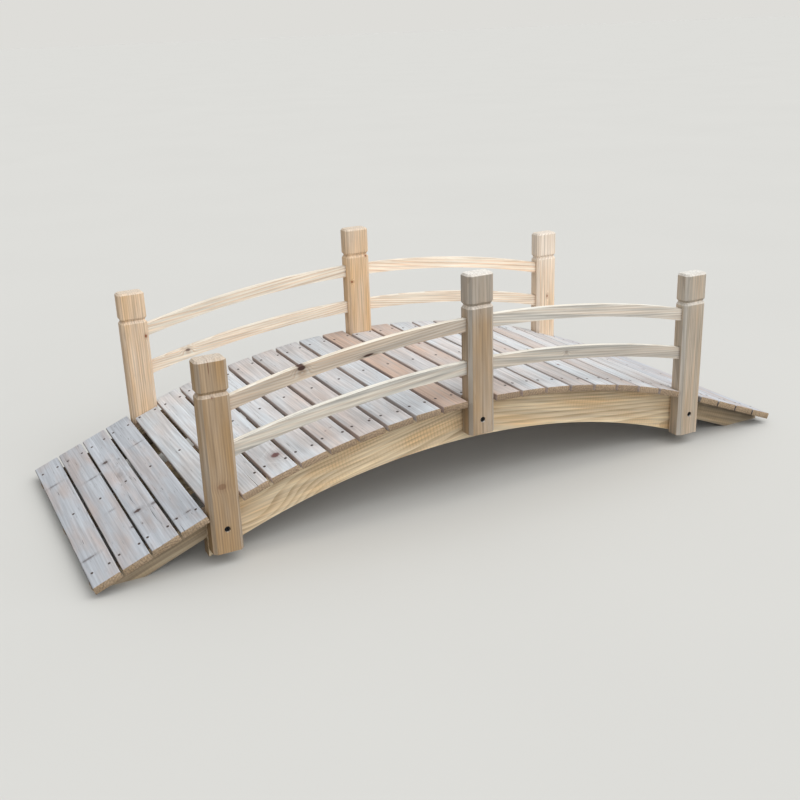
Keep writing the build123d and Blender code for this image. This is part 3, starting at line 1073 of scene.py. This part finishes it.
class BRIDGE_OT_nails(bpy.types.Operator):
    """Nail every plank to the stringers"""

    bl_idname = "moon_bridge.nails"
    bl_label = "Nails"

    def execute(self, context):
        settings = context.scene.moon_bridge
        shape = settings.nail
        steel = settings.steel
        # Blued steel, hammered flat and starting to rust: small dark dots with a dull sheen.
        head = dark_steel(
            "Blued steel nail, hammered",
            steel.nail,
            steel.nail_rust,
            roughness=0.55,
            metallic=0.6,
            patch_size=3 * MM,
        )
        # Crushed and stained wood: a soft grey ring that sets each head off from its plank.
        stain = bruised_fir("Fir bruised by a nail", steel.bruise)
        groups = {
            "deck_nails": [f"deck_plank_{number:02d}" for number in range(1, len(DECK_LOOKS) + 1)],
            "ramp_nails": [f"ramp_planks_{end}" for end in ENDS],
        }
        lines = nailing_lines()
        rng = random.Random(settings.seed)
        for name, nodes in groups.items():
            mesh = bmesh.new()
            for node in nodes:
                for board in planks_of(node):
                    for at in nail_places(board, lines, shape, rng):
                        add_nail(mesh, at, board, shape, rng.uniform(0, math.pi))
            bmesh.ops.recalc_face_normals(mesh, faces=mesh.faces)
            new_piece(name, mesh, [head, stain])
        return {"FINISHED"}


STRINGER_LOOKS = {
    "left": Look("leaning", 1.14, 0.15, 0.15, knots=(Knot(-8, -330, 40, 2.4, 1.2, 0.0),), saw=0.15),
    "right": Look("leaning", 1.18, 0.1, 0.2, saw=0.07),
}
RAMP_BEAMS = ("ramp_stringers_left", "ramp_stringers_right", "ramp_cleats")
RAMP_BEAM_LOOK = Look("straight", 0.8, 0.1, 0.7, saw=0.1)


class BRIDGE_OT_stringers(bpy.types.Operator):
    """Finish the beams under the deck and the ramps"""

    bl_idname = "moon_bridge.stringers"
    bl_label = "Stringers"

    def execute(self, context):
        settings = context.scene.moon_bridge
        beams = {}
        for line in STRINGER_LINES:
            for end, look in STRINGER_LOOKS.items():
                beams[f"stringer_{line}_{end}"] = look
        for node in RAMP_BEAMS:
            beams[node] = RAMP_BEAM_LOOK
        for number, (node, look) in enumerate(beams.items(), start=1):
            name = "Sawn fir " + node.replace("_", " ")
            seed = settings.seed + STRINGER_SEED + number
            # Fir from the band saw, sheltered by the deck: golden, strongly figured, with fine
            # upright saw marks in patches.
            dress(node, fir(name, settings.stringer, beam_of(node), seed, look))
        return {"FINISHED"}


# The near posts have lower tones and more grey than the far ones: partly the wood, partly painted shade on
# the near side.
POST_LOOKS = {
    ("near", "left"): Look("straight", 0.65, 0.75, -0.25, 0.6, 0.9, (
        Knot(-4, -81, 15, 0.7, 0.25, 0.5),
        Knot(-7, 179, 3.5, 1.2, 1.0, 0.6),
        Knot(-9, 262, 1.0, 22, 0),
    )),
    ("near", "centre"): Look("leaning", 0.66, 0.35, 0.08, 1.0, 1.1, head=0.5),
    ("near", "right"): Look("straight", 0.95, 0.1, 0.4, 1.0, 1.1, head=0.15),
    ("far", "left"): Look("straight", 1.07, 0.35, -0.3, 0.3, 1.05, (Knot(33, 131, 4.5),)),
    ("far", "centre"): Look("straight", 1.08, 0.5, -0.35, 0.3, 1.05, (
        Knot(-30, 60, 4.5, 1.2),
        Knot(30, 149, 4, 1.0),
    ), head=0.15),
    ("far", "right"): Look("leaning", 1.26, 0.0, -0.1, 0.5, 1.12, (Knot(1, 27, 3.4, 2.4),), head=0.3),
}


class BRIDGE_OT_posts(bpy.types.Operator):
    """Finish the six posts"""

    bl_idname = "moon_bridge.posts"
    bl_label = "Posts"

    def execute(self, context):
        settings = context.scene.moon_bridge
        for number, ((row, place), look) in enumerate(POST_LOOKS.items()):
            node = f"post_{row}_{place}"
            seed = settings.seed + POST_SEED + number
            # Planed fir, tan to pinkish, with fine lines running straight up the faces, grey
            # streaks and darker faces on the near side, partly as painted shade, and bleached heads.
            dress(node, fir(f"Planed fir post {row} {place}", settings.post, post_of(node), seed, look))
        return {"FINISHED"}


# The near rails are greyer, and some darker, than the far ones: partly the wood, partly painted shade on
# the near side.
RAIL_LOOKS = {
    ("top", "near", "left"): Look("straight", 0.75, 0.55, 0.18, 0.9, 1.1, (
        Knot(-24, -154, 11, 1.3),
        Knot(2, 50, 4, 5),
    )),
    ("lower", "near", "left"): Look("leaning", 0.93, -0.4, 0.65, 1.0, 1.14),
    ("top", "near", "right"): Look("straight", 1.08, 0.2, 0.6, 1.0, 1.1),
    ("lower", "near", "right"): Look("straight", 0.84, 0.2, 0.65, 1.0, 1.1, (
        Knot(-15, -99, 6, 1.2, 1.5, 0.4),
    )),
    ("top", "far", "left"): Look("leaning", 0.94, -0.2, -0.1, 0.5, 1.0),
    ("lower", "far", "left"): Look("straight", 0.95, 0.15, -0.1, 0.4, 1.0, (
        Knot(-13, -240, 7, 1.6, 2.0, 0.8),
    )),
    ("top", "far", "right"): Look("leaning", 1.06, 0.25, -0.3, 0.4, 1.0),
    ("lower", "far", "right"): Look("straight", 0.97, 0.15, -0.2, 0.4, 1.0),
}


class BRIDGE_OT_rails(bpy.types.Operator):
    """Finish the eight curved rails"""

    bl_idname = "moon_bridge.rails"
    bl_label = "Rails"

    def execute(self, context):
        settings = context.scene.moon_bridge
        for number, ((level, row, end), look) in enumerate(RAIL_LOOKS.items()):
            node = f"{level}_rail_{row}_{end}"
            name = f"Planed fir rail {level} {row} {end}"
            seed = settings.seed + RAIL_SEED + number
            # Planed sapwood sawn to a curve: cream, with straight grain that runs out through
            # the curved edges, tops bleached nearly white and made lighter, partly as painted light from
            # above, and greyer and darker on the near side, partly as painted shade.
            dress(node, fir(name, settings.rail, beam_of(node), seed, look))
        return {"FINISHED"}


class BRIDGE_OT_bolts(bpy.types.Operator):
    """Finish the bolts through the posts"""

    bl_idname = "moon_bridge.bolts"
    bl_label = "Bolts"

    def execute(self, context):
        steel = context.scene.moon_bridge.steel
        # Turned steel with a black oxide skin: almost black, with a soft oily sheen.
        material = dark_steel(
            "Black oxide steel bolt, turned",
            steel.bolt,
            steel.bolt_worn,
            roughness=0.42,
            metallic=0.7,
            patch_size=5 * MM,
        )
        dress("post_bolts", material)
        return {"FINISHED"}


# Towards the large lamp, above and to the front right, and towards the brighter side of the sky.
LAMP_SIDE = Vector((0.4, -0.4, 0.82)).normalized()
BRIGHT_SIDE = Vector((0.66, -0.68, 0.3)).normalized()

# The paper of the floor, and the width of the camera's film in millimetres.
MOTTLE_SIZE = 1.25
MOTTLE_SWING = (0.98, 1.02)
PAPER_ROUGHNESS = 0.95
FLOOR_CELLS = 8
FILM_WIDTH = 36


class BRIDGE_OT_stage(bpy.types.Operator):
    """Set up the floor, the light and the camera"""

    bl_idname = "moon_bridge.stage"
    bl_label = "Stage"

    def execute(self, context):
        scene = context.scene
        studio = scene.moon_bridge.studio
        self.make_floor(studio)
        self.make_light(scene, studio)
        self.make_camera(scene, studio)
        scene.view_settings.view_transform = "Standard"
        return {"FINISHED"}

    def seen_directly(self, tree):
        """One for what the camera, a reflection or clear material shows, and nought for soft light."""
        seen = add(tree, LIGHT_PATH, out="Is Camera Ray")
        glossy = add(tree, LIGHT_PATH, out="Is Glossy Ray")
        clear = add(tree, LIGHT_PATH, out="Is Transmission Ray")
        direct = add(tree, MATH, [seen, glossy], operation="ADD")
        return add(tree, MATH, [direct, clear], operation="ADD", use_clamp=True)

    def make_floor(self, studio):
        """A sheet of paper on the ground."""
        # Uncoated paper, rolled out: matt, faintly mottled, with no shine towards the horizon.
        material, tree = new_material("Matt paper sweep")
        place = add(tree, COORDS, out="Object")
        mottle = add(tree, NOISE, {"Vector": place, "Scale": 1 / MOTTLE_SIZE, "Detail": 2}, out="Fac")
        shade = add(tree, RANGE, [mottle, 0, 1, *MOTTLE_SWING])
        seen = self.seen_directly(tree)
        sheet = covered(tree, opaque(studio.floor_bounce), (seen, opaque(studio.floor)))
        shown = add(tree, VECTOR, {0: sheet, "Scale": shade}, operation="SCALE")
        surface = {"Base Color": shown, "Roughness": PAPER_ROUGHNESS, "Specular IOR Level": 0.0}
        add(tree, OUTPUT, {"Surface": add(tree, PRINCIPLED, surface)})
        mesh = bmesh.new()
        half = studio.floor_size / 2
        bmesh.ops.create_grid(mesh, x_segments=FLOOR_CELLS, y_segments=FLOOR_CELLS, size=half)
        floor = finished("floor", mesh, [material])

    def make_light(self, scene, studio):
        """Soft light from all round, stronger on one side, and one very wide lamp above that side."""
        world = bpy.data.worlds.new("Studio")
        scene.world = world
        world.use_nodes = True
        tree = world.node_tree
        tree.nodes.clear()
        heading = add(tree, COORDS, out="Generated")
        brightward = add(tree, VECTOR, [heading, BRIGHT_SIDE], operation="DOT_PRODUCT", out="Value")
        dim = studio.sky * (1 - studio.slant)
        bright = studio.sky * (1 + studio.slant)
        level = add(tree, RANGE, [brightward, -1, 1, dim, bright])
        light = add(tree, BACKGROUND, {"Color": opaque(studio.sky_colour), "Strength": level})
        shown = add(tree, BACKGROUND, {"Color": opaque(studio.backdrop), "Strength": 1.0})
        both = add(tree, MIX_SHADER, [self.seen_directly(tree), light, shown])
        add(tree, WORLD_OUTPUT, {"Surface": both})
        lamp = bpy.data.lights.new("key", "SUN")
        lamp.energy = studio.key
        lamp.angle = studio.key_spread
        key = put_in_scene("key", lamp)
        key.rotation_euler = LAMP_SIDE.to_track_quat("Z", "Y").to_euler()

    def make_camera(self, scene, studio):
        """The photograph's view: heading, pitch and roll as measured."""
        level = Vector((math.cos(studio.yaw), -math.sin(studio.yaw), 0))
        ahead = Vector((math.sin(studio.yaw), math.cos(studio.yaw), 0))
        forward = ahead * math.cos(studio.pitch) - UPRIGHT * math.sin(studio.pitch)
        upward = level.cross(forward)
        right = level * math.cos(studio.roll) + upward * math.sin(studio.roll)
        top = upward * math.cos(studio.roll) - level * math.sin(studio.roll)
        data = bpy.data.cameras.new("camera")
        data.sensor_width = FILM_WIDTH
        data.lens = studio.lens
        camera = put_in_scene("camera", data)
        turn = Matrix((right, top, -forward)).transposed().to_4x4()
        camera.matrix_world = Matrix.Translation(studio.camera_place) @ turn
        scene.camera = camera


OPERATORS = (
    BRIDGE_OT_deck_planks,
    BRIDGE_OT_ramp_planks,
    BRIDGE_OT_nails,
    BRIDGE_OT_stringers,
    BRIDGE_OT_posts,
    BRIDGE_OT_rails,
    BRIDGE_OT_bolts,
    BRIDGE_OT_stage,
)


class BRIDGE_PT_panel(bpy.types.Panel):
    """Lists the steps of the finish, and under them what a user may change"""

    bl_label = "Moon Bridge"
    bl_idname = "BRIDGE_PT_panel"
    bl_space_type = "VIEW_3D"
    bl_region_type = "UI"
    bl_category = "Moon Bridge"

    def draw(self, context):
        settings = context.scene.moon_bridge
        for operator in OPERATORS:
            self.layout.operator(operator.bl_idname)
        self.layout.prop(settings, "seed")
        for key in BridgeSettings.__annotations__:
            group = getattr(settings, key)
            if isinstance(group, bpy.types.PropertyGroup):
                self.layout.label(text=BridgeSettings.bl_rna.properties[key].name)
                for name in type(group).__annotations__:
                    self.layout.prop(group, name)


CLASSES = (
    DeckFinish,
    RampFinish,
    PostFinish,
    RailFinish,
    StringerFinish,
    SteelFinish,
    BoardShape,
    NailShape,
    Studio,
    BridgeSettings,
    *OPERATORS,
    BRIDGE_PT_panel,
)


def register():
    """Register the classes and hang the settings on the scene."""
    for cls in CLASSES:
        bpy.utils.register_class(cls)
    bpy.types.Scene.moon_bridge = PointerProperty(type=BridgeSettings)


def unregister():
    """Take the settings off the scene and unregister the classes."""
    del bpy.types.Scene.moon_bridge
    for cls in reversed(CLASSES):
        bpy.utils.unregister_class(cls)


def main():
    """Run every step in order."""
    register()
    bpy.ops.moon_bridge.deck_planks()
    bpy.ops.moon_bridge.ramp_planks()
    bpy.ops.moon_bridge.nails()
    bpy.ops.moon_bridge.stringers()
    bpy.ops.moon_bridge.posts()
    bpy.ops.moon_bridge.rails()
    bpy.ops.moon_bridge.bolts()
    bpy.ops.moon_bridge.stage()


if __name__ == "__main__":
    main()
